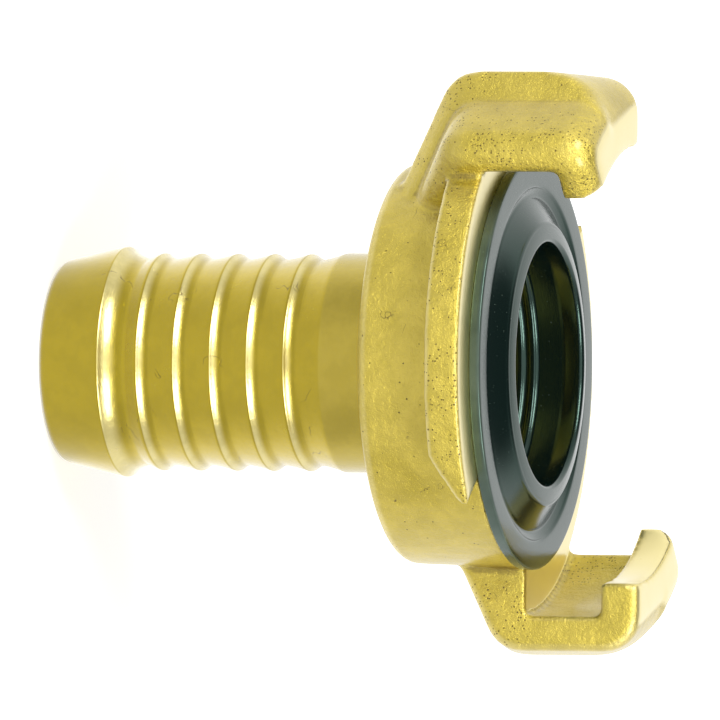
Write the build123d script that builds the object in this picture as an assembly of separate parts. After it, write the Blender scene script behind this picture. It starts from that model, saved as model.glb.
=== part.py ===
from build123d import *
import os
from math import cos, radians, sin, sqrt, tan

# Quarter turn hose coupling, millimetres.
# The coupling stands on the end of its hose tail: the axis is Z, the tail end is at z = 0
# and the two claws point up. Angles are measured about Z from +X towards +Y.

# hose tail
tail_length = 33.0          # tail end to the back of the head
tail_bore_r = 7.5           # waterway
tail_end_r = 9.25           # outside, at the very end
tail_end_bevel = 0.7
lead_barb_r = 10.6          # the first and largest barb
lead_barb_z = 5.9
lead_barb_land = 0.8        # plain band on its crest
lead_barb_fall = 1.3        # length of its falling side
rib_count = 5               # the smaller ribs behind it
rib_pitch = 3.52
rib_crest_r = 10.0
rib_root_r = 9.5
rib_land = 0.3
rib_fall = 0.8              # length of a rib's falling side
neck_r = 10.1               # plain neck between the last rib and the head
neck_rise = 2.6             # length of the taper up to the neck
neck_bevel = 0.8            # where the neck meets the head
mouth_bevel = 0.6           # inside bevel at the tail end

# head
head_depth = 11.0           # back of the head to its front face
head_back_r = 18.4
head_front_r = 18.7
head_back_bevel = 0.6
entry_depth = 3.6           # cone between the seal seat and the waterway

# seat of the seal in the front face
seat_r = 15.2
seat_depth = 6.0
groove_r = 16.8             # undercut that holds the seal
groove_top = 2.2            # front face to the groove
groove_width = 2.4
seat_ledge_r = 11.5         # inner edge of the seat's floor

# seal
seal_clearance = 0.1        # all round the part of the seal inside the head
seal_rim_r = 18.9
seal_rim_thick = 1.0
seal_rim_width = 1.6
seal_rim_bevel = 0.25
seal_bore_r = 11.5
seal_lip_height = 2.3       # lip above the front face
seal_lip_width = 1.0
seal_lip_bevel = 0.25       # inside the lip, at the bore
seal_lip_shoulder = 0.35    # bevel outside the lip
seal_trough_out_r = 16.6
seal_trough_in_r = 15.0
seal_trough_height = 0.55
seal_slope_r = 13.0         # top of the slope from the trough to the lip
seal_bead_height = 0.45     # bead inside the bore
seal_bead_width = 1.4
seal_bead_depth = 3.0       # front face to the middle of the bead

# lugs, the two ramps that the claws of the other half grip
lug_r = 22.8
lug_thick = 3.3
lug_end_angle = 124.5       # free end of the lug
lug_lead_rise = 2.4         # the free end is thinned by this much, to lead the other hook in
lug_lead_run = 4.8          # over this length
lug_overlap_angle = 2.0     # the lug starts this far inside the claw

# claws
claw_end_angle = 41.5       # where the claw ends and its lug starts
claw_root_depth = 3.5       # the claws and lugs start this deep inside the head
claw_inner_r = 23.1         # runs round the lug of the other half
claw_reach = 10.8           # front face to the tip of the claw
hook_inner_r = 20.0         # 40 mm between the two hooks
hook_thick = 3.6
claw_outer_r = 26.3         # round flank beside the ridge
claw_flank_overlap = 0.1    # the flank starts this far inside the block
claw_flank_slope = 62.0     # back of the flank, degrees to the axis
claw_flank_back = 7.5       # foot of the flank, behind the front face
claw_front_round = 3.0
claw_back_round = 3.0
claw_end_round = 2.4
ridge_y = 8.9               # the ridge runs along the middle of the claw
ridge_height = 26.8
ridge_slope = 65.0
ridge_back = 8.45           # foot of the ridge, behind the front face
ridge_back_round = 3.5
ridge_front_round = 6.5
ridge_drop = 0.5            # how far the block thins from the ridge to the claw's plain end
ridge_drop_back = 2.2
ridge_side_width = 1.6      # the block's steep side, from the ridge down to the flank
ridge_side_back = 1.75      # its foot lies this much nearer the front face
ridge_side_step = 0.2       # the side ends this far outside the flank
plain_end_round = 0.8

face_z = tail_length + head_depth
tip_z = face_z + claw_reach
claw_root_r = head_back_r - claw_root_depth
flank_y = ridge_y + ridge_side_width


def ring_face(points):
    """Closed outline of (radius, height) points in the XZ plane."""
    outline = Polyline([(r, 0, z) for r, z in points], close=True)
    return make_face(outline)


def ring(face, angle=360.0):
    return revolve(face, axis=Axis.Z, revolution_arc=angle)


def near(vertices, r, z):
    """The one vertex at a radius and a height."""
    return [v for v in vertices if abs(v.X - r) < 1e-4 and abs(v.Z - z) < 1e-4]


def reach(edge):
    """How far the middle of an edge lies from the axis."""
    middle = edge.position_at(0.5)
    return sqrt(middle.X ** 2 + middle.Y ** 2)


def on_end(edge, angle):
    """Whether an edge lies in the half plane at an angle about the axis."""
    normal = Vector(-sin(radians(angle)), cos(radians(angle)), 0)
    return all(abs(edge.position_at(t).dot(normal)) < 1e-4 for t in (0, 0.5, 1))


def barb(crest_r, crest_z, land, fall):
    """Crest and foot of one barb; the next barb's slow rise starts at the foot."""
    end_z = crest_z + land
    return [(crest_r, crest_z), (crest_r, end_z), (rib_root_r, end_z + fall)]


def turned_blank():
    """Ribbed tail and head as one turned shape, still solid inside."""
    slope = (lead_barb_r - tail_end_r) / lead_barb_z
    points = [(0, 0), (tail_end_r - tail_end_bevel, 0),
              (tail_end_r + slope * tail_end_bevel, tail_end_bevel)]
    points += barb(lead_barb_r, lead_barb_z, lead_barb_land, lead_barb_fall)
    for i in range(1, rib_count + 1):
        points += barb(rib_crest_r, lead_barb_z + i * rib_pitch, rib_land, rib_fall)
    points += [
        (neck_r, points[-1][1] + neck_rise), (neck_r, tail_length - neck_bevel),
        (neck_r + neck_bevel, tail_length), (head_back_r - head_back_bevel, tail_length),
        (head_back_r, tail_length + head_back_bevel), (head_front_r, face_z), (0, face_z),
    ]
    return ring(ring_face(points))


def waterway():
    """Everything bored out of the head and the tail: waterway, entry cone, seat and groove."""
    floor_z = face_z - seat_depth
    groove_z = face_z - groove_top
    return ring(ring_face([
        (0, -1), (tail_bore_r + mouth_bevel + 1, -1), (tail_bore_r, mouth_bevel),
        (tail_bore_r, floor_z - entry_depth), (seat_ledge_r, floor_z), (seat_r, floor_z),
        (seat_r, groove_z - groove_width), (groove_r, groove_z - groove_width),
        (groove_r, groove_z), (seat_r, groove_z), (seat_r, face_z + 1), (0, face_z + 1),
    ]))


def side_outline(y, height, back, front_round):
    """Side view of the claw's block: sloping back, level top and rounded front corner."""
    slope = tan(radians(ridge_slope))
    run = (height - claw_root_r) / slope
    foot_z = face_z - back - (head_back_r - claw_root_r) / slope
    foot = (claw_root_r, foot_z)
    shoulder = (height, foot_z + run)
    nose = (height, tip_z)
    outline = Polyline([(x, y, z) for x, z in (foot, shoulder, nose, (claw_root_r, tip_z))],
                       close=True)
    face = make_face(outline)
    face = fillet(near(face.vertices(), *shoulder), ridge_back_round)
    return fillet(near(face.vertices(), *nose), front_round)


def claw_block():
    """Forged block under the ridge: it thins from the ridge to the claw's plain end, and
    drops steeply to the round flank on the other side."""
    plain = side_outline(0, ridge_height - ridge_drop, ridge_back - ridge_drop_back,
                         claw_front_round)
    ridge = side_outline(ridge_y, ridge_height, ridge_back, ridge_front_round)
    low_height = sqrt(claw_outer_r ** 2 - flank_y ** 2) + ridge_side_step
    low = side_outline(flank_y, low_height, ridge_back - ridge_side_back, claw_front_round)
    block = loft([plain, ridge], ruled=True) + loft([ridge, low], ruled=True)
    edges = [e for e in block.edges() if e.center().Y < 1e-4 and e.center().X > claw_inner_r]
    return fillet(edges, plain_end_round)


def claw_flank():
    """Round flank of the claw, a part of a ring that ends at the lug."""
    slope = tan(radians(claw_flank_slope))
    foot_z = face_z - claw_flank_back - (head_back_r - claw_root_r) / slope
    shoulder = (claw_outer_r, foot_z + (claw_outer_r - claw_root_r) / slope)
    nose = (claw_outer_r, tip_z)
    face = ring_face([(claw_root_r, foot_z), shoulder, nose, (claw_root_r, tip_z)])
    face = fillet(near(face.vertices(), *shoulder), claw_back_round)
    face = fillet(near(face.vertices(), *nose), claw_front_round)
    flank = ring(face, claw_end_angle)
    end_edges = [e for e in flank.edges() if on_end(e, claw_end_angle)]
    flank = fillet([e for e in end_edges if reach(e) > claw_inner_r], claw_end_round)
    return split(flank, Plane.XZ.offset(claw_flank_overlap - flank_y), keep=Keep.BOTTOM)


def claw_pocket():
    """Space under the hook that takes the lug of the other half."""
    hook_z = tip_z - hook_thick
    return ring(ring_face([
        (0, face_z), (claw_inner_r, face_z), (claw_inner_r, hook_z), (hook_inner_r, hook_z),
        (hook_inner_r, tip_z + 1), (0, tip_z + 1),
    ]))


def claw():
    return claw_block() + claw_flank() - claw_pocket()


def lug():
    """Ramp from the end of the claw round to a free end that is thinned from behind."""
    back_z = face_z - lug_thick
    width = lug_end_angle - claw_end_angle + lug_overlap_angle
    body = ring(ring_face([(claw_root_r, back_z), (lug_r, back_z),
                           (lug_r, face_z), (claw_root_r, face_z)]), width)
    end_face = [f for f in body.faces() if all(on_end(e, width) for e in f.edges())][0]
    back_edge = end_face.edges().sort_by(Axis.Z)[0]
    body = chamfer(back_edge, lug_lead_rise, lug_lead_run, reference=end_face)
    return Rot(0, 0, claw_end_angle - lug_overlap_angle) * body


def coupling_body():
    body = turned_blank()
    for turn in (0, 180):
        body += Rot(0, 0, turn) * claw()
        body += Rot(0, 0, turn) * lug()
    return body - waterway()


def seal_front():
    """Front of the seal, from the bore over the lip and the trough to the edge of the rim."""
    lip_z = face_z + seal_lip_height
    lip_out_r = seal_bore_r + seal_lip_width
    rim_z = face_z + seal_rim_thick
    trough_z = face_z + seal_trough_height
    return [
        (seal_bore_r, lip_z - seal_lip_bevel), (seal_bore_r + seal_lip_bevel, lip_z),
        (lip_out_r, lip_z), (seal_slope_r, lip_z - seal_lip_shoulder),
        (seal_trough_in_r, trough_z), (seal_trough_out_r, trough_z),
        (seal_rim_r - seal_rim_width, rim_z), (seal_rim_r - seal_rim_bevel, rim_z),
        (seal_rim_r, rim_z - seal_rim_bevel), (seal_rim_r, face_z),
    ]


def seal_ring():
    """Moulded seal: rim and lip outside the head, neck and bead held in the head's seat."""
    neck_out_r = seat_r - seal_clearance
    flange_r = groove_r - seal_clearance
    flange_z = face_z - groove_top - seal_clearance
    flange_back_z = face_z - groove_top - groove_width + seal_clearance
    floor_z = face_z - seat_depth
    bead_z = face_z - seal_bead_depth
    bead_r = seal_bore_r - seal_bead_height
    return ring(ring_face(seal_front() + [
        (neck_out_r, face_z), (neck_out_r, flange_z), (flange_r, flange_z),
        (flange_r, flange_back_z), (neck_out_r, flange_back_z), (neck_out_r, floor_z),
        (seal_bore_r, floor_z), (seal_bore_r, bead_z - seal_bead_width / 2),
        (bead_r, bead_z), (seal_bore_r, bead_z + seal_bead_width / 2),
    ]))


nodes = {"claw_body": coupling_body(), "seal_ring": seal_ring()}
os.makedirs("parts", exist_ok=True)
for name, solid in nodes.items():
    export_step(solid, f"parts/{name}.step")
    print(name, len(solid.solids()), "solid, volume", round(solid.volume, 1))
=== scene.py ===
"""Looks of a quarter turn hose coupling: forged brass, moulded rubber and a pale studio."""
import math

import bpy
import numpy as np
from bpy.props import FloatProperty, FloatVectorProperty, IntProperty, PointerProperty
from bpy.types import Operator, Panel, PropertyGroup
from mathutils import Matrix, Vector


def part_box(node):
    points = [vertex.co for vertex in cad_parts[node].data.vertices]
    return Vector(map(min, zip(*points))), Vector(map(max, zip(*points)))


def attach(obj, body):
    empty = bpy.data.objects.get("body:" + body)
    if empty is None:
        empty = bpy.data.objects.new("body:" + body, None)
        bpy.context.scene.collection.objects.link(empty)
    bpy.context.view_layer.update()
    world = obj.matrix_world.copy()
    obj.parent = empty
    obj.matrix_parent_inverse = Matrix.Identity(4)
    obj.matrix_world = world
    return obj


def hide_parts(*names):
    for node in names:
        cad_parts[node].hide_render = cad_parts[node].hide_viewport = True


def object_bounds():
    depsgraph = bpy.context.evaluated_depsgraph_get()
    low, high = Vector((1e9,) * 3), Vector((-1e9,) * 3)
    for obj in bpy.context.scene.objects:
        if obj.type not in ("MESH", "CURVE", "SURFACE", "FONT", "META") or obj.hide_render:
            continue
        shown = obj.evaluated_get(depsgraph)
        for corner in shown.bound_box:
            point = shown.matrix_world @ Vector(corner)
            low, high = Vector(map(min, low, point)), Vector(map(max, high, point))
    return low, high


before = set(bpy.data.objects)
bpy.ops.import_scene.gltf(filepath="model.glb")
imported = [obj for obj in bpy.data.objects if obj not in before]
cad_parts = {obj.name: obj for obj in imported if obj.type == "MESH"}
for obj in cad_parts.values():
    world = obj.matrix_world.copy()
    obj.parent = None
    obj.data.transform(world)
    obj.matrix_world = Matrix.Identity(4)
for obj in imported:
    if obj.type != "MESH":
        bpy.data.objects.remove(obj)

bl_info = {
    "name": "Quarter turn hose coupling",
    "version": (1, 0, 0),
    "blender": (4, 5, 0),
    "location": "3D View > Sidebar > Coupling",
    "description": "Dresses the coupling in forged brass and moulded rubber, in a pale studio",
    "category": "Object",
}

MM = 0.001
CAD_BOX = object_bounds()
BODY_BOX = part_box("claw_body")
SEAL_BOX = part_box("seal_ring")
TAIL_END_Z = BODY_BOX[0].z
TIP_Z = BODY_BOX[1].z
FACE_Z = TIP_Z - 10.8 * MM            # front face of the head
HEAD_BACK_Z = FACE_Z - 11.0 * MM
ENTRY_Z = HEAD_BACK_Z + 1.4 * MM      # foot of the entry cone, where the waterway starts
BORE_R = 7.5 * MM                     # waterway
HEAD_R = 18.7 * MM
HOOK_R = 20.0 * MM                    # inner face of the hooks
LUG_R = 22.8 * MM
POCKET_R = 23.1 * MM                  # wall of the pockets under the hooks
CLAW_END_TURN = math.radians(38)      # where the claws' round ends lie, about Z
OVERHEAD = (0, 0.17, 0.985)           # middle of the studio's dark sky
FRONT_FILL = (0, -0.72, 0.69)         # middle of the bright patch in front
WHITE = (1, 1, 1, 1)


# ---------------------------------------------------------------- properties

class BrassSettings(PropertyGroup):
    """Finish of the forged brass body."""
    head: FloatVectorProperty(name="Forged brass", description="Colour of the blasted head",
                              subtype="COLOR", min=0, max=1, default=(0.70, 0.555, 0.085))
    tail: FloatVectorProperty(name="Tail brass", description="Colour of the smoother hose tail",
                              subtype="COLOR", min=0, max=1, default=(0.485, 0.365, 0.012))
    machined: FloatVectorProperty(name="Machined brass", description="Colour of the turned faces",
                                  subtype="COLOR", min=0, max=1, default=(0.88, 0.76, 0.33))
    # painted highlight: a lighter brass for the ribs' falls, which face up towards the lamps
    fall_highlight: FloatVectorProperty(name="Rib highlight brass",
                                  description="Colour of the falls of the tail's ribs",
                                  subtype="COLOR", min=0, max=1, default=(0.80, 0.69, 0.30))
    # the pits' and laps' stain; made lighter, it is also the painted shade in the hollows
    stain_and_shade: FloatVectorProperty(name="Stain and shade", description="Colour in the pits and laps",
                               subtype="COLOR", min=0, max=1, default=(0.13, 0.085, 0.015))
    head_roughness: FloatProperty(name="Head roughness", description="Roughness of the head",
                                  subtype="FACTOR", min=0, max=1, default=0.42)
    tail_roughness: FloatProperty(name="Tail roughness", description="Roughness of the tail",
                                  subtype="FACTOR", min=0, max=1, default=0.25)
    pit_spacing: FloatProperty(name="Pit spacing", description="Distance between pits",
                               subtype="DISTANCE", unit="LENGTH", min=0.0001,
                               default=0.25 * MM)
    grain_size: FloatProperty(name="Mesh grain", description="Size of the head's mesh cells",
                              subtype="DISTANCE", unit="LENGTH", min=0.0001,
                              default=0.285 * MM)
    rounding: IntProperty(name="Rounding", description="Smoothing rounds on the forged edges",
                          min=0, default=9)


class TailSettings(PropertyGroup):
    """Shape of the hose tail."""
    end_radius: FloatProperty(name="End radius", description="Outside radius at the very end",
                              subtype="DISTANCE", unit="LENGTH", default=9.3 * MM)
    barb_radius: FloatProperty(name="Barb radius", description="Radius of the first barb",
                               subtype="DISTANCE", unit="LENGTH", default=10.58 * MM)
    barb_height: FloatProperty(name="Barb height", description="Tail end to the first crest",
                               subtype="DISTANCE", unit="LENGTH", default=5.95 * MM)
    rib_radius: FloatProperty(name="Rib radius", description="Radius of the smaller ribs",
                              subtype="DISTANCE", unit="LENGTH", default=10.0 * MM)
    root_radius: FloatProperty(name="Root radius", description="Radius between the ribs",
                               subtype="DISTANCE", unit="LENGTH", default=9.5 * MM)
    neck_radius: FloatProperty(name="Neck radius", description="Radius of the plain neck",
                               subtype="DISTANCE", unit="LENGTH", default=10.1 * MM)
    pitch: FloatProperty(name="Rib pitch", description="Distance from rib to rib",
                         subtype="DISTANCE", unit="LENGTH", default=3.52 * MM)
    ribs: IntProperty(name="Ribs", description="Ribs behind the first barb", min=1, default=5)
    steps: IntProperty(name="Steps", description="Steps round the tail", min=32, default=240)


class SealSettings(PropertyGroup):
    """Shape and finish of the rubber seal."""
    colour: FloatVectorProperty(name="Rubber", description="Colour of the rubber",
                                subtype="COLOR", min=0, max=1, default=(0.003, 0.008, 0.007))
    dust: FloatVectorProperty(name="Dust", description="Colour of the dust on the rubber",
                              subtype="COLOR", min=0, max=1, default=(0.20, 0.25, 0.20))
    bore_radius: FloatProperty(name="Bore radius", description="Radius of the seal's bore",
                               subtype="DISTANCE", unit="LENGTH", default=11.5 * MM)
    trough_radius: FloatProperty(name="Trough radius", description="Radius of the trough's floor",
                                 subtype="DISTANCE", unit="LENGTH", default=15.5 * MM)
    lip_radius: FloatProperty(name="Lip radius", description="Radius of the lip's crest",
                              subtype="DISTANCE", unit="LENGTH", default=12.0 * MM)
    lip_inset: FloatProperty(name="Lip inset", description="How far the lip stands into the bore",
                             subtype="DISTANCE", unit="LENGTH", default=0.38 * MM)
    steps: IntProperty(name="Steps", description="Steps round the seal", min=32, default=256)


class StageSettings(PropertyGroup):
    """Camera, floor and lights."""
    view_tilt: FloatProperty(name="View tilt", description="Height of the camera's line of sight",
                             subtype="ANGLE", unit="ROTATION", default=math.radians(16.3))
    view_roll: FloatProperty(name="View roll", description="Turn of the camera from lying flat",
                             subtype="ANGLE", unit="ROTATION", default=math.radians(0.33))
    view_width: FloatProperty(name="View width", description="Width of the view at the part",
                              subtype="DISTANCE", unit="LENGTH", default=66.06 * MM)
    box_glow: FloatProperty(name="Softbox glow", description="Watts per square metre of softbox",
                            min=0, default=30.0)
    floor_colour: FloatVectorProperty(name="Floor", description="Colour of the floor",
                                      subtype="COLOR", min=0, max=1, default=(0.82, 0.82, 0.82))


# ---------------------------------------------------------------- node helper

class Nodes:
    """Short calls that add linked shader nodes to one material or world."""

    def __init__(self, owner):
        owner.use_nodes = True
        self.tree = owner.node_tree
        self.tree.nodes.clear()

    def add(self, kind, inputs=None, out=0, **settings):
        """Adds a node, sets its settings, fills its inputs, and gives back one output."""
        made = self.tree.nodes.new("ShaderNode" + kind)
        for name, value in settings.items():
            setattr(made, name, value)
        for name, value in (inputs or {}).items():
            if isinstance(value, bpy.types.NodeSocket):
                self.tree.links.new(value, made.inputs[name])
            else:
                made.inputs[name].default_value = value
        return made.outputs[out] if made.outputs else made

    def math(self, operation, a, b=0.0, c=0.0):
        """Result of one Math node."""
        return self.add("Math", {0: a, 1: b, 2: c}, operation=operation)

    def product(self, first, *others):
        """All the values multiplied."""
        for other in others:
            first = self.math("MULTIPLY", first, other)
        return first

    def total(self, base, *parts):
        """The base, plus each part's value times its gain."""
        for value, gain in parts:
            base = self.math("MULTIPLY_ADD", value, gain, base)
        return base

    def rest(self, share):
        """What a share leaves of 1."""
        return self.math("SUBTRACT", 1.0, share)

    def away(self, value, middle):
        """How far a value lies from the middle, on either side."""
        return self.math("ABSOLUTE", self.math("SUBTRACT", value, middle))

    def along(self, direction, way):
        """Cosine of the angle between two directions of length 1."""
        return self.add("VectorMath", {0: direction, 1: way}, out="Value",
                        operation="DOT_PRODUCT")

    def step(self, value, low, high):
        """0 below low, 1 above high, smooth between; low may be above high to turn it round."""
        return self.add("MapRange", {0: value, 1: low, 2: high}, interpolation_type="SMOOTHSTEP")

    def tint(self, factor, a, b, most=1.0):
        """Colour a where the factor is 0, moved by most of the way to colour b where it is 1."""
        share = factor if most == 1.0 else self.math("MULTIPLY", factor, most)
        return self.add("Mix", {0: share, 6: a, 7: b}, out=2, data_type="RGBA")

    def place(self):
        """The point itself, its x, y and z, and its distance from the Z axis."""
        place = self.add("TexCoord", out="Object")
        x, y, z = self.add("SeparateXYZ", {0: place}).node.outputs
        square = self.math("ADD", self.math("MULTIPLY", x, x), self.math("MULTIPLY", y, y))
        return place, x, y, z, self.math("SQRT", square)

    def noise(self, place, size, detail=3.0, roughness=0.55):
        """Noise with features of about one size, in metres."""
        return self.add("TexNoise", {"Vector": place, "Scale": 1 / size, "Detail": detail,
                                     "Roughness": roughness})


def rgba(colour, factor=1.0):
    """Colour with its alpha, made lighter or darker by a factor."""
    return (*[min(1.0, c * factor) for c in colour], 1.0)


# ---------------------------------------------------------------- materials

def brass_material(s):
    """Forged brass with pits and laps, a smoother tail and turned faces."""
    material = bpy.data.materials.new("forged_brass")
    n = Nodes(material)
    place, x, y, z, radius = n.place()
    up = n.add("SeparateXYZ", {0: n.add("NewGeometry", out="Normal")}, out=2)
    on_head = n.step(z, HEAD_BACK_Z - 0.3 * MM, HEAD_BACK_Z)
    on_tail = n.rest(on_head)

    # turned faces: the claws' ends, the ring round the seal and the hooks' inner faces
    tip = n.product(n.step(z, TIP_Z - 0.3 * MM, TIP_Z - 0.1 * MM), n.step(up, 0.70, 0.97))
    front = n.product(n.step(n.away(z, FACE_Z), 0.12 * MM, 0.05 * MM), n.step(up, 0.90, 0.97))
    hook = n.product(n.step(radius, HOOK_R + 0.12 * MM, HOOK_R + 0.06 * MM),
                     n.step(z, FACE_Z + 5 * MM, FACE_Z + 5.2 * MM))
    turned = n.math("MAXIMUM", n.math("MAXIMUM", tip, front), hook)
    forged = n.rest(turned)

    # pits, thick on the lugs and on the claws' round ends, sparse elsewhere
    slant = n.away(n.math("MULTIPLY", x, math.sin(CLAW_END_TURN)),
                   n.math("MULTIPLY", y, math.cos(CLAW_END_TURN)))
    rim = n.step(radius, 19.5 * MM, 21.5 * MM)
    ends = n.product(rim, n.step(slant, 6.0 * MM, 2.5 * MM))
    lugs = n.product(rim, n.step(z, FACE_Z + 0.3 * MM, FACE_Z), 0.8)
    patch = n.step(n.noise(place, 3 * MM, detail=2), 0.36, 0.62)
    crowd = n.product(n.math("MAXIMUM", ends, lugs), patch)
    share = n.total(n.math("MULTIPLY", on_head, 0.012), (crowd, 0.50))
    cells = n.add("TexVoronoi", {"Vector": place, "Scale": 1 / s.pit_spacing}).node.outputs
    chosen = n.math("LESS_THAN", n.add("SeparateXYZ", {0: cells["Color"]}), share)
    ragged = n.total(-0.12, (n.noise(place, 0.2 * MM, detail=2), 0.6))
    hole = n.step(n.math("SUBTRACT", cells["Distance"], ragged), 0.22, 0.04)
    pit = n.product(hole, chosen, forged)

    # hairline laps: thin lines where a warped noise crosses its middle
    warp = n.noise(place, 9 * MM, detail=4, roughness=0.55)
    lap = n.product(n.step(n.away(warp, 0.5), 0.0030, 0.0),
                    n.step(n.noise(place, 4 * MM, detail=1), 0.60, 0.68), forged)

    cloud = n.noise(place, 2.4 * MM, detail=5, roughness=0.62)
    hammer = n.noise(place, 0.55 * MM, detail=3, roughness=0.6)
    grain = n.noise(place, 0.14 * MM, detail=3, roughness=0.65)
    rings = n.noise(n.add("CombineXYZ", {0: radius}), 0.09 * MM, detail=3)
    lathe = n.noise(n.add("CombineXYZ", {0: z}), 0.12 * MM, detail=3)

    # colour: tail or head, then neck, a painted highlight on the ribs' falls, dull clouds,
    # tarnish, painted shade in the hollows and wear on the ridges
    neck = n.product(n.step(z, HEAD_BACK_Z - 6.0 * MM, HEAD_BACK_Z - 5.9 * MM), on_tail)
    # painted highlight: the ribs' falls, which face up towards the lamps, get a lighter brass
    fall = n.product(n.step(up, 0.25, 0.60), on_tail)
    dull = n.step(cloud, 0.62, 0.36)
    tarnish = n.product(n.step(n.noise(place, 11 * MM, detail=4), 0.47, 0.66), on_head)
    # painted shade: hollows, where the smoothing moved the skin outwards, take the stain colour
    # made a little lighter; ridges take worn brass
    shade_and_wear = n.add("Attribute", out="Fac", attribute_name="shade_and_wear")
    crease_shade = n.step(shade_and_wear, 0.06, 0.45)
    ridge = n.step(shade_and_wear, -0.10, -0.60)
    colour = n.tint(on_head, rgba(s.tail), rgba(s.head))
    # the tints below include a painted highlight on the ribs' falls and painted shade in the
    # hollows
    for factor, other, most in (
            (neck, rgba(s.machined, 0.8), 0.12), (fall, rgba(s.fall_highlight), 0.8),
            (dull, rgba(s.tail, 0.7), 0.22), (tarnish, rgba(s.tail, 0.85), 0.45),
            (crease_shade, rgba(s.stain_and_shade, 1.6), 0.55), (ridge, rgba(s.machined, 1.1), 0.55),
            (turned, rgba(s.machined), 1.0), (n.math("MAXIMUM", pit, lap), rgba(s.stain_and_shade), 0.8)):
        colour = n.tint(factor, colour, other, most)

    rough = n.total(s.tail_roughness - 0.06, (on_head, s.head_roughness - s.tail_roughness),
                    (cloud, 0.12), (pit, 0.3), (turned, -0.12))

    # height: the tail is far smoother than the head, and the turned faces have rings only
    uneven = n.total(0.14, (on_head, 0.86))
    skin = n.product(n.total(0.0, (cloud, 3.0), (hammer, 1.15), (grain, 0.85)), uneven)
    skin = n.total(skin, (n.product(lathe, on_tail), 0.10), (pit, -0.7), (lap, -0.3))
    height = n.total(n.product(skin, forged), (n.product(turned, rings), 0.05))
    bump = n.add("Bump", {"Strength": 1.0, "Distance": 0.10 * MM, "Height": height})
    shader = n.add("BsdfPrincipled", {
        "Base Color": colour, "Metallic": 1.0, "Roughness": rough, "Normal": bump,
        "Coat Weight": 0.7, "Coat Roughness": 0.18, "Coat IOR": 1.5})
    n.add("OutputMaterial", {"Surface": shader})
    return material


def rubber_material(s):
    """Smooth black moulded rubber, glossy, with a little dust on it."""
    material = bpy.data.materials.new("seal_rubber")
    n = Nodes(material)
    place, _, _, z, radius = n.place()
    rim_r = SEAL_BOX[1].x
    cloud = n.noise(place, 4 * MM, detail=3)
    grain = n.noise(place, 0.12 * MM, detail=2)
    speck = n.step(n.noise(place, 0.22 * MM, detail=2, roughness=0.7), 0.71, 0.76)
    lines = n.noise(n.add("CombineXYZ", {0: z, 1: radius}), 0.16 * MM, detail=2)
    wall = n.product(n.step(radius, rim_r - 0.25 * MM, rim_r - 0.08 * MM), 0.55, cloud)
    dust = n.math("MAXIMUM", n.product(speck, 0.35), wall)
    rough = n.total(0.10, (cloud, 0.08), (speck, 0.3))
    height = n.total(grain, (cloud, 1.5), (lines, 0.6))
    bump = n.add("Bump", {"Strength": 0.4, "Distance": 0.02 * MM, "Height": height})
    shader = n.add("BsdfPrincipled", {
        "Base Color": n.tint(dust, rgba(s.colour), rgba(s.dust)), "Roughness": rough,
        "Normal": bump, "IOR": 1.6, "Specular Tint": (0.62, 1.0, 0.84, 1.0)})
    n.add("OutputMaterial", {"Surface": shader})
    return material


def straight_rays(n):
    """1 for rays that see the background itself: from the camera and through glass."""
    path = n.add("LightPath").node.outputs
    return n.math("MAXIMUM", path["Is Camera Ray"], path["Is Transmission Ray"])


def floor_material(s):
    """Pale matt floor that keeps a soft shadow, and glows in gloss.

    Seen straight, it lifts from near the part outwards, so that it goes to white. In gloss it
    is brightest behind the part and beside it, and a little brighter right in front.
    """
    material = bpy.data.materials.new("pale_floor")
    n = Nodes(material)
    place = n.add("TexCoord", out="Object")
    far = n.add("VectorMath", {0: place}, out="Value", operation="LENGTH")
    way = n.add("VectorMath", {0: place}, operation="NORMALIZE")
    behind = n.add("SeparateXYZ", {0: way}, out=1)

    lift = n.total(0.44, (n.step(far, 15 * MM, 100 * MM), 0.44))
    glow = n.add("Emission", {"Color": WHITE, "Strength": n.product(straight_rays(n), lift)})
    seen = n.add("AddShader", {0: n.add("BsdfDiffuse", {"Color": rgba(s.floor_colour)}), 1: glow})

    beside = n.product(n.step(behind, -0.9, -0.3), n.step(far, 100 * MM, 40 * MM))
    level = n.total(0.74, (n.step(behind, -0.3, 0.4), 0.42), (n.step(behind, -0.5, -0.95), 0.22),
                    (beside, 0.30))
    gloss = n.add("Emission", {"Color": WHITE, "Strength": level})
    mirrored = n.add("LightPath", out="Is Glossy Ray")
    n.add("OutputMaterial", {"Surface": n.add("MixShader", {0: mirrored, 1: seen, 2: gloss})})
    return material


# ---------------------------------------------------------------- surfaces

def revolved(name, profile, steps):
    """Closed profile of (radius, height) points turned about Z.

    Each point (r, h) becomes a ring: x = r cos a, y = r sin a, z = h, for a from 0 to a full
    turn. The profile runs so that its outside is on the right, and the faces point outwards.
    """
    profile = np.asarray(profile, float)
    angle = np.linspace(0, 2 * math.pi, steps, endpoint=False)
    r = profile[:, 0][:, None]
    points = np.stack([r * np.cos(angle), r * np.sin(angle),
                       np.broadcast_to(profile[:, 1][:, None], (len(profile), steps))], axis=-1)
    i, j = np.meshgrid(np.arange(len(profile)), np.arange(steps), indexing="ij")
    i2, j2 = (i + 1) % len(profile), (j + 1) % steps
    faces = np.stack([i * steps + j, i * steps + j2, i2 * steps + j2, i2 * steps + j],
                     axis=-1).reshape(-1, 4)
    return mesh_object(name, points.reshape(-1, 3), faces)


def mesh_object(name, points, faces):
    """Smooth-shaded object of points and faces, linked to the scene."""
    mesh = bpy.data.meshes.new(name)
    mesh.from_pydata(points.tolist(), [], faces.tolist())
    mesh.validate()
    mesh.shade_smooth()
    made = bpy.data.objects.new(name, mesh)
    bpy.context.scene.collection.objects.link(made)
    return made


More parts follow.
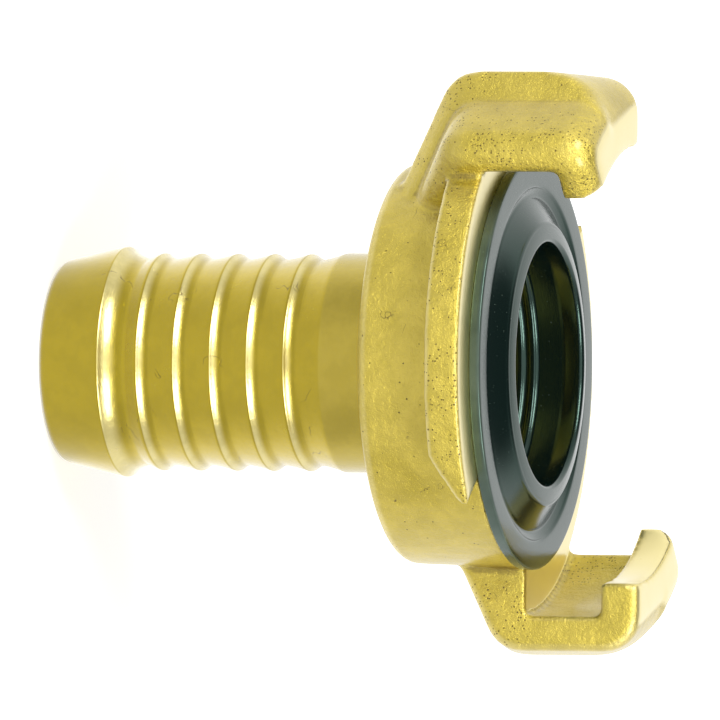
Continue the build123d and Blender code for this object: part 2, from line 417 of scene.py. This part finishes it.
def arc(start, end, bulge, count):
    """Points of a circular arc from start to end, the end left out.

    bulge is the arc's height over its chord as a share of half the chord: the arc spans
    4 atan(bulge), and a negative bulge bends it the other way.
    """
    a, b = np.array(start, float), np.array(end, float)
    t = np.linspace(0, 1, count, endpoint=False)[:, None]
    span = 4 * math.atan(bulge)
    chord = b - a
    if abs(span) < 1e-6:
        return a + chord * t
    normal = np.array([-chord[1], chord[0]])
    centre = (a + b) / 2 + normal / (2 * math.tan(span / 2))
    arm = a - centre
    turn = span * t
    turned = np.concatenate([np.cos(turn) * arm[0] - np.sin(turn) * arm[1],
                             np.sin(turn) * arm[0] + np.cos(turn) * arm[1]], axis=1)
    return centre + turned


def outline(corners):
    """Closed outline from (radius, height, bulge, count) corners, in metres.

    Each corner says how its side bends on the way to the next one, and in how many pieces.
    """
    parts = []
    for k, (r, h, bulge, count) in enumerate(corners):
        nxt = corners[(k + 1) % len(corners)]
        parts.append(arc((r, h), nxt[:2], bulge, count))
    return np.concatenate(parts)


# ---------------------------------------------------------------- operators

def set_material(piece, material):
    """Gives a piece one material."""
    piece.data.materials.clear()
    piece.data.materials.append(material)


class COUPLING_OT_stage(Operator):
    """Lay the floor, set the lights and aim the camera"""
    bl_idname = "coupling.stage"
    bl_label = "Stage"

    def execute(self, context):
        s = context.scene.coupling_stage
        scene = context.scene
        scene.view_settings.view_transform = "Standard"
        self.floor(s)
        self.world(scene)
        middle = Vector((0, 0, (CAD_BOX[0][2] + CAD_BOX[1][2]) / 2))
        self.softbox("softbox_left", Vector((-0.55, -0.50, 0.67)), middle, 0.36, s.box_glow)
        self.softbox("softbox_right", Vector((0.50, -0.54, 0.68)), middle, 0.32, s.box_glow)
        self.camera(scene, s)
        return {"FINISHED"}

    def floor(self, s):
        """Flat square, side times side, through the foot of the coupling."""
        side = 6.0
        points = np.array([(-1, -1, 0), (1, -1, 0), (1, 1, 0), (-1, 1, 0)]) * side / 2
        floor = mesh_object("floor", points, np.array([(0, 1, 2, 3)]))
        set_material(floor, floor_material(s))

    def world(self, scene):
        """White where it is seen straight, and dim and even for matt surfaces.

        In gloss it is brighter behind than in front, with a bright patch high in front and a
        dark sky overhead.
        """
        world = bpy.data.worlds.new("studio")
        scene.world = world
        n = Nodes(world)
        path = n.add("LightPath").node.outputs
        direction = n.add("TexCoord", out="Generated")
        behind = n.add("SeparateXYZ", {0: direction}, out=1)
        dark = n.step(n.along(direction, OVERHEAD), 0.76, 0.92)
        fill = n.step(n.along(direction, FRONT_FILL), 0.84, 0.97)
        gloss = n.total(0.70, (n.step(behind, -0.15, 0.6), 0.45), (fill, 0.7))
        gloss = n.product(gloss, n.rest(n.product(dark, 0.92)), path["Is Glossy Ray"])
        strength = n.total(n.math("ADD", straight_rays(n), gloss), (path["Is Diffuse Ray"], 0.35))
        background = n.add("Background", {"Color": WHITE, "Strength": strength})
        n.add("OutputWorld", {"Surface": background})

    def softbox(self, name, direction, target, width, glow):
        """Lamp on a line from the target, facing it; glow is its power per square metre."""
        distance, height = 0.6, 0.20
        lamp = bpy.data.lights.new(name, "AREA")
        lamp.shape = "RECTANGLE"
        lamp.size, lamp.size_y = width, height
        lamp.energy = glow * width * height
        made = bpy.data.objects.new(name, lamp)
        made.location = target + direction.normalized() * distance
        made.rotation_euler = direction.to_track_quat("Z", "Y").to_euler()
        bpy.context.scene.collection.objects.link(made)

    def camera(self, scene, s):
        """Long lens that lies on its side: the coupling's axis runs across the view.

        The lens is the sensor's width times the distance over the width of the view.
        """
        distance = 3.0
        target = Vector((-0.275, -4.27, 29.38)) * MM
        tilt, roll = s.view_tilt, s.view_roll
        right = Vector((0, math.sin(tilt), math.cos(tilt)))
        up = Vector((-1, 0, 0))
        back = right.cross(up)
        right, up = (right * math.cos(roll) + up * math.sin(roll),
                     up * math.cos(roll) - right * math.sin(roll))
        lens = bpy.data.cameras.new("camera")
        lens.sensor_width = 36.0
        lens.lens = lens.sensor_width * distance / s.view_width
        lens.clip_start = 0.1
        made = bpy.data.objects.new("camera", lens)
        turn = Matrix((right, up, back)).transposed().to_4x4()
        made.matrix_world = Matrix.Translation(target + back * distance) @ turn
        scene.collection.objects.link(made)
        scene.camera = made


class COUPLING_OT_head(Operator):
    """Carry over the forged head with its claws and lugs, without the tail"""
    bl_idname = "coupling.head"
    bl_label = "Forged head"

    def execute(self, context):
        s = context.scene.coupling_brass
        head = self.rounded(self.head_piece(), s)
        set_material(head, brass_material(s))
        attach(head, "root")
        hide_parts("claw_body")
        return {"FINISHED"}

    def head_piece(self):
        """The body's triangles above the head's back face, closed towards the tail.

        Equal points are merged. A cone from the hole in the back face to the foot of the
        entry cone closes the piece inside.
        """
        near, merged = 0.01 * MM, 0.0001 * MM
        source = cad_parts["claw_body"].data
        points = np.empty(len(source.vertices) * 3, np.float32)
        source.vertices.foreach_get("co", points)
        corners = np.empty(len(source.loops), np.int32)
        source.loops.foreach_get("vertex_index", corners)
        triangles = points.reshape(-1, 3)[corners].reshape(-1, 3, 3)
        triangles = triangles[triangles[:, :, 2].min(axis=1) > HEAD_BACK_Z - near]

        loose = triangles.reshape(-1, 3)
        rounded = np.round(loose / merged).astype(np.int64)
        _, first, index = np.unique(rounded, axis=0, return_index=True, return_inverse=True)
        places = loose[first]
        faces = index.reshape(-1, 3)
        faces = faces[(faces[:, 0] != faces[:, 1]) & (faces[:, 1] != faces[:, 2])
                      & (faces[:, 2] != faces[:, 0])]
        outer = self.open_loop(places, faces, HEAD_BACK_Z)
        inner = self.open_loop(places, faces, ENTRY_Z)
        bridge = self.bridge(places, outer, inner)
        return mesh_object("forged_head", places, np.concatenate([faces, bridge]))

    def rounded(self, head, s):
        """Rounds the forged edges and corners, and leaves the turned ones nearly sharp.

        The shape is rebuilt on an even grid of cells. Then each point moves halfway to the
        mean of its neighbours, again and again, by its own share: all of it on forged skin,
        little on the turned faces, and none where the neck joins. How far a point has moved
        out of the metal is kept as an attribute: above 0 in hollows, where the brass gets its
        painted shade, below 0 on ridges, where it gets its wear, and 1 for 0.2 mm.
        """
        full_shade_and_wear = 0.2 * MM
        cells = head.modifiers.new("cells", "REMESH")
        cells.mode = "VOXEL"
        cells.voxel_size = s.grain_size
        view = bpy.context.evaluated_depsgraph_get()
        mesh = bpy.data.meshes.new_from_object(head.evaluated_get(view))
        head.modifiers.clear()
        old, head.data = head.data, mesh
        bpy.data.meshes.remove(old)
        mesh.name = head.name

        points = np.empty(len(mesh.vertices) * 3, np.float32)
        mesh.vertices.foreach_get("co", points)
        points = points.reshape(-1, 3).astype(float)
        edges = np.empty(len(mesh.edges) * 2, np.int32)
        mesh.edges.foreach_get("vertices", edges)
        a, b = edges.reshape(-1, 2).T
        ends, others = np.concatenate([a, b]), np.concatenate([b, a])
        count = np.bincount(ends, minlength=len(points))[:, None]
        share = self.share(points)[:, None]
        before = points.copy()
        for _ in range(s.rounding):
            total = np.stack([np.bincount(ends, points[others, k], len(points))
                              for k in range(3)], axis=1)
            points += 0.5 * share * (total / count - points)
        points = np.clip(points, np.array(BODY_BOX[0]), np.array(BODY_BOX[1]))
        mesh.vertices.foreach_set("co", points.astype(np.float32).ravel())
        mesh.update()
        mesh.shade_smooth()
        outward = np.empty(len(points) * 3, np.float32)
        mesh.vertex_normals.foreach_get("vector", outward)
        moved = np.sum((points - before) * outward.reshape(-1, 3), axis=1)
        shade_and_wear = mesh.attributes.new("shade_and_wear", "FLOAT", "POINT")
        shade_and_wear.data.foreach_set("value", (moved / full_shade_and_wear).astype(np.float32))
        return head

    def share(self, points):
        """How much each point is smoothed, from 0 to 1, by its height and radius.

        Forged skin is smoothed in full. Beside the front face the share falls to 0.4, on the
        pockets' walls it is 0.6, inside the head 0.1, and where the tail joins 0.
        """
        radius = np.hypot(points[:, 0], points[:, 1])
        height = points[:, 2] - FACE_Z
        share = np.ones(len(points))
        band = 0.9 * MM
        beside_face = (radius < LUG_R + 0.1 * MM) & (np.abs(height) < band)
        share[beside_face] = np.clip(np.abs(height[beside_face]) / band, 0.4, 1)
        pocket = (radius < POCKET_R + 0.3 * MM) & (height > 0.2 * MM) & (height < 9.5 * MM)
        inside = (radius < HEAD_R - 0.1 * MM) & (height > -9 * MM)
        joint = (radius < 12.5 * MM) & (height < -9 * MM)
        for region, value in ((pocket, 0.6), (inside, 0.1), (joint, 0.0)):
            share[region] = value
        return share

    def open_loop(self, places, faces, height):
        """Vertices of the open edges at one height, in order of their angle about Z."""
        near = 0.02 * MM
        edges = np.sort(np.concatenate([faces[:, [0, 1]], faces[:, [1, 2]], faces[:, [2, 0]]]),
                        axis=1)
        edges, uses = np.unique(edges, axis=0, return_counts=True)
        loop = np.unique(edges[uses == 1])
        loop = loop[np.abs(places[loop, 2] - height) < near]
        return loop[np.argsort(np.arctan2(places[loop, 1], places[loop, 0]))]

    def bridge(self, places, outer, inner):
        """Triangles between two rings: each edge meets the other ring's vertex beside it."""
        a = np.arctan2(places[outer, 1], places[outer, 0])
        b = np.arctan2(places[inner, 1], places[inner, 0])
        a_end = np.append(a[1:], a[0] + 2 * math.pi)
        b_end = np.append(b[1:], b[0] + 2 * math.pi)
        i, j = np.arange(len(outer)), np.arange(len(inner))
        beside_outer = np.searchsorted(b_end, a_end, side="left") % len(inner)
        beside_inner = np.searchsorted(a_end, b_end, side="right") % len(outer)
        wide = np.stack([outer[i], inner[beside_outer], outer[(i + 1) % len(outer)]], axis=1)
        narrow = np.stack([outer[beside_inner], inner[j], inner[(j + 1) % len(inner)]], axis=1)
        return np.concatenate([wide, narrow])


class COUPLING_OT_tail(Operator):
    """Turn the hose tail with its barb, ribs and neck, in the brass that the head brings"""
    bl_idname = "coupling.tail"
    bl_label = "Hose tail"

    def execute(self, context):
        s = context.scene.coupling_tail
        tail = revolved("hose_tail", self.profile(s), s.steps)
        set_material(tail, bpy.data.materials["forged_brass"])
        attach(tail, "root")
        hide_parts("claw_body")
        return {"FINISHED"}

    def profile(self, s):
        """Rounded end, then barbs that rise slowly, turn sharply and fall in a hollow arc."""
        low = TAIL_END_Z
        mouth, end_round, crest = 0.6 * MM, 0.75 * MM, 0.12 * MM
        barb_top = low + s.barb_height
        corners = [
            (BORE_R + mouth, low, 0, 3), (s.end_radius - end_round, low, 0.35, 8),
            (s.end_radius + 0.1 * MM, low + end_round, 0.01, 8),
            (s.barb_radius, barb_top - crest, 0.25, 5),
            (s.barb_radius - 0.04 * MM, barb_top + crest, -0.20, 14),
            (s.root_radius, barb_top + 2.3 * MM, -0.02, 6)]
        for k in range(1, s.ribs + 1):
            top = barb_top + k * s.pitch
            corners += [
                (s.rib_radius - 0.01 * MM, top - crest, 0.16, 5),
                (s.rib_radius - 0.03 * MM, top + crest, -0.19, 10),
                (s.root_radius, top + 1.3 * MM, -0.04, 6)]
        neck_low = barb_top + s.ribs * s.pitch + 3.4 * MM
        corners += [
            (s.neck_radius - 0.02 * MM, neck_low, 0.04, 3),
            (s.neck_radius, neck_low + 0.3 * MM, 0, 4),
            (s.neck_radius, HEAD_BACK_Z - 0.85 * MM, -0.41, 8),
            (s.neck_radius + 0.80 * MM, HEAD_BACK_Z, 0, 2),
            (BORE_R, ENTRY_Z, 0, 12), (BORE_R, low + mouth, 0, 3)]
        return outline(corners)


class COUPLING_OT_seal(Operator):
    """Turn the moulded seal, with its lip, trough and rim"""
    bl_idname = "coupling.seal"
    bl_label = "Rubber seal"

    def execute(self, context):
        s = context.scene.coupling_seal
        seal = revolved("face_seal", self.profile(s), s.steps)
        set_material(seal, rubber_material(s))
        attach(seal, "root")
        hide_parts("seal_ring")
        return {"FINISHED"}

    def profile(self, s):
        """Round lip at the bore, concave trough, flat rim with rounded edges, plain neck."""
        foot, top, face = SEAL_BOX[0].z, SEAL_BOX[1].z, FACE_Z
        rim, rim_top = SEAL_BOX[1].x, face + 1.0 * MM
        bore, lip, trough = s.bore_radius, s.lip_radius, s.trough_radius
        inner = bore - s.lip_inset
        neck, flange = 15.1 * MM, 16.7 * MM
        flange_low, flange_top = face - 4.5 * MM, face - 2.3 * MM
        held = [
            (bore, foot, 0, 8), (neck, foot, 0, 4), (neck, flange_low, 0, 2),
            (flange, flange_low, 0, 2), (flange, flange_top, 0, 2), (neck, flange_top, 0, 4),
            (neck, face, 0, 4)]
        flat_rim = [
            (rim - 0.1 * MM, face, 0.41, 4), (rim, face + 0.1 * MM, 0, 4),
            (rim, rim_top - 0.25 * MM, 0.41, 6), (rim - 0.25 * MM, rim_top, 0.01, 8),
            (rim - 2.50 * MM, rim_top, 0.30, 6), (rim - 2.75 * MM, rim_top - 0.20 * MM, -0.05, 6)]
        trough_and_lip = [
            (trough + 0.1 * MM, face + 0.52 * MM, -0.25, 8),
            (trough - 0.35 * MM, face + 0.62 * MM, -0.06, 14),
            (lip + 1.15 * MM, face + 1.85 * MM, 0.20, 10),
            (lip + 0.75 * MM, top - 0.24 * MM, 0.04, 10),
            (inner + 0.35 * MM, top, 0.36, 12), (inner, top - 0.45 * MM, 0.05, 8)]
        beads = [
            (bore, top - 1.9 * MM, 0, 8), (bore, face - 1.9 * MM, -0.25, 6),
            (bore - 0.22 * MM, face - 2.4 * MM, 0.30, 10),
            (bore - 0.05 * MM, face - 3.1 * MM, -0.20, 8),
            (bore - 0.26 * MM, face - 3.6 * MM, 0.30, 10), (bore, face - 4.4 * MM, 0, 8)]
        return outline(held + flat_rim + trough_and_lip + beads)


class COUPLING_PT_panel(Panel):
    """Lists the coupling's pieces and their settings"""
    bl_idname = "COUPLING_PT_panel"
    bl_label = "Hose coupling"
    bl_space_type = "VIEW_3D"
    bl_region_type = "UI"
    bl_category = "Coupling"

    def draw(self, context):
        layout = self.layout
        for operator, settings in STEPS:
            layout.operator(operator.bl_idname)
            group = getattr(context.scene, settings)
            for name in group.__annotations__:
                layout.prop(group, name)


STEPS = (
    (COUPLING_OT_stage, "coupling_stage"),
    (COUPLING_OT_head, "coupling_brass"),
    (COUPLING_OT_tail, "coupling_tail"),
    (COUPLING_OT_seal, "coupling_seal"),
)
SETTINGS = {
    "coupling_stage": StageSettings,
    "coupling_brass": BrassSettings,
    "coupling_tail": TailSettings,
    "coupling_seal": SealSettings,
}
CLASSES = (*SETTINGS.values(), *(operator for operator, _ in STEPS), COUPLING_PT_panel)


def register():
    for cls in CLASSES:
        bpy.utils.register_class(cls)
    for name, group in SETTINGS.items():
        setattr(bpy.types.Scene, name, PointerProperty(type=group))


def unregister():
    for name in SETTINGS:
        delattr(bpy.types.Scene, name)
    for cls in reversed(CLASSES):
        bpy.utils.unregister_class(cls)


def main():
    register()
    bpy.ops.coupling.stage()
    bpy.ops.coupling.head()
    bpy.ops.coupling.tail()
    bpy.ops.coupling.seal()
    bpy.context.view_layer.update()


if __name__ == "__main__":
    main()
